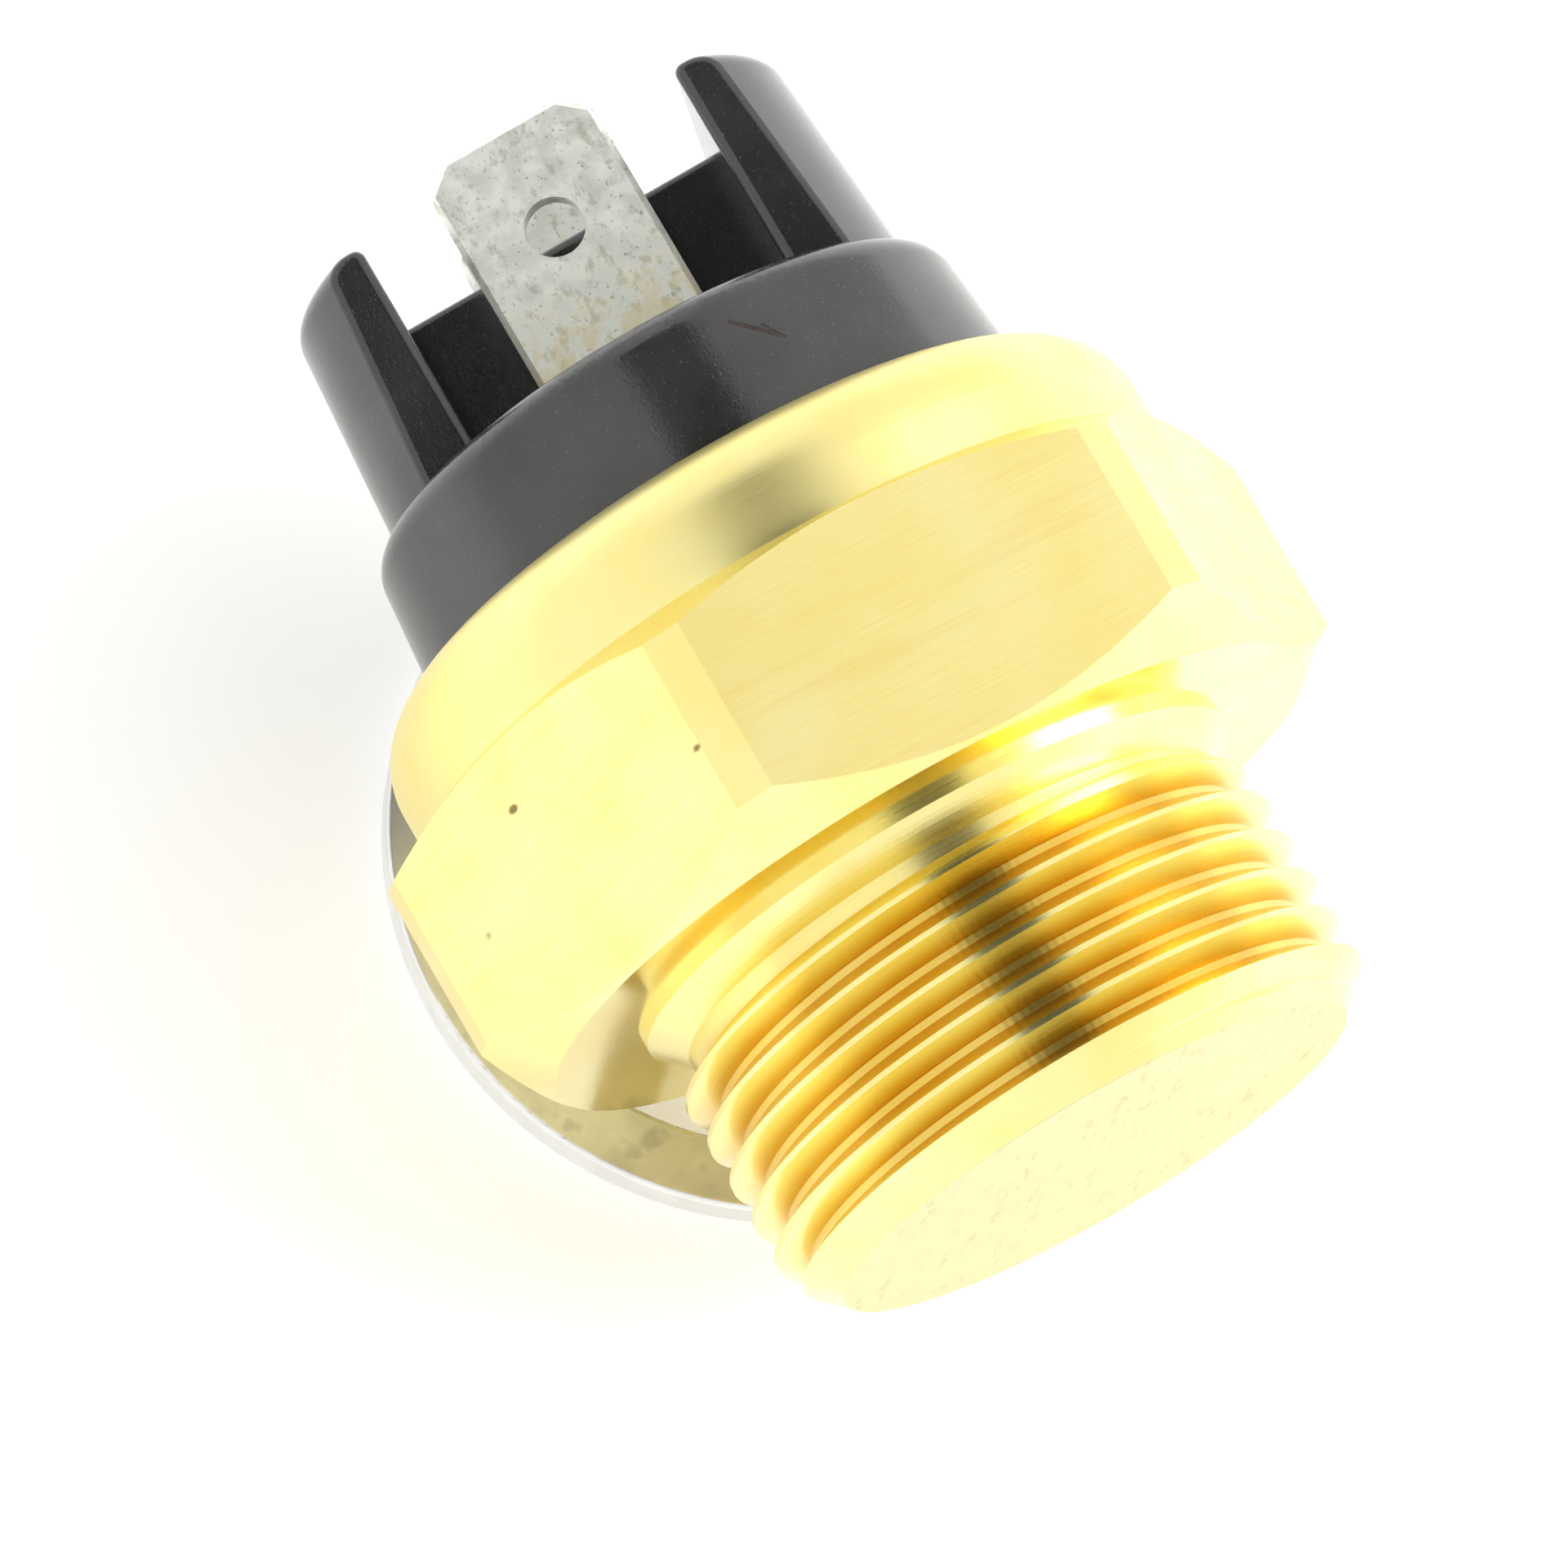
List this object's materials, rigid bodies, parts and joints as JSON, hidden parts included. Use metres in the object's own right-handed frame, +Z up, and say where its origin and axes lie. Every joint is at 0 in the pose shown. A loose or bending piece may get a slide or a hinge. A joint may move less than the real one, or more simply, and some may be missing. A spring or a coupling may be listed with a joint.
{
  "type": "thermo switch",
  "caption": "Screw-in bimetal thermo switch with a threaded brass nose, a hexagon, a black moulded head with blade terminals and a loose sealing washer.",
  "frame": {"origin": "on the thread axis, at the middle of the flat sealing seat under the hexagon", "axes": "+X along the thread axis, from the seat towards the blind nose; +Z up, square to the hexagon flat that the switch lies on; +Y to the left of +X seen from above"},
  "size_m": [0.0398, 0.0326, 0.029],
  "materials": {
    "brass_housing": "turned brass, satin, slightly tarnished in the thread",
    "sealing_washer": "dull tumbled aluminium",
    "head_gasket": "black rubber, matt",
    "insulator_head": "black moulded plastic, half gloss with fine speckle",
    "front_terminal": "dull tin plating on brass",
    "rear_terminal": "dull tin plating on brass",
    "terminal_seals": "black sealing compound",
    "terminal_rivets": "bare brass",
    "contact_bracket": "bare brass",
    "fixed_contact": "silver contact",
    "moving_contact": "silver contact",
    "contact_arm": "spring bronze",
    "push_pin": "white ceramic",
    "pin_guide": "brown moulded plastic",
    "insulating_film": "amber insulating film",
    "spacer_sleeve": "bare aluminium",
    "keeper_spring": "spring steel",
    "disc_keeper": "bare brass",
    "bimetal_disc": "bimetal sheet",
    "disc_seat_ring": "bare brass"
  },
  "bodies": {
    "switch_body": {"brass_housing": "brass_housing", "head_gasket": "head_gasket", "insulator_head": "insulator_head", "front_terminal": "front_terminal", "rear_terminal": "rear_terminal", "terminal_seals": "terminal_seals", "terminal_rivets": "terminal_rivets", "contact_bracket": "contact_bracket", "fixed_contact": "fixed_contact", "pin_guide": "pin_guide", "insulating_film": "insulating_film", "spacer_sleeve": "spacer_sleeve", "keeper_spring": "keeper_spring", "disc_keeper": "disc_keeper", "disc_seat_ring": "disc_seat_ring"},
    "disc": {"bimetal_disc": "bimetal_disc"},
    "pin": {"push_pin": "push_pin"},
    "arm": {"contact_arm": "contact_arm", "moving_contact": "moving_contact"},
    "washer": {"sealing_washer": "sealing_washer"}
  },
  "joints": [
    {"name": "disc_snap", "type": "slide", "parent": "switch_body", "child": "disc", "axis": [-1, 0, 0], "range_m": [0, 0.00035]},
    {"name": "pin_slide", "type": "slide", "parent": "switch_body", "child": "pin", "axis": [-1, 0, 0], "range_m": [0, 0.00035]},
    {"name": "arm_swing", "type": "hinge", "parent": "switch_body", "child": "arm", "pos_m": [-0.0085, -0.00166, 0.00618], "axis": [0, 0.9659, 0.2588], "range_deg": [0, 3.14]},
    {"name": "washer_shift", "type": "slide", "parent": "switch_body", "child": "washer", "axis": [1, 0, 0], "range_m": [0, 0.0043]}
  ],
  "couplings": [
    {"joint": "pin_slide", "follows": "disc_snap", "ratio": 1},
    {"joint": "arm_swing", "follows": "disc_snap", "rad_per_m": 156.25}
  ]
}
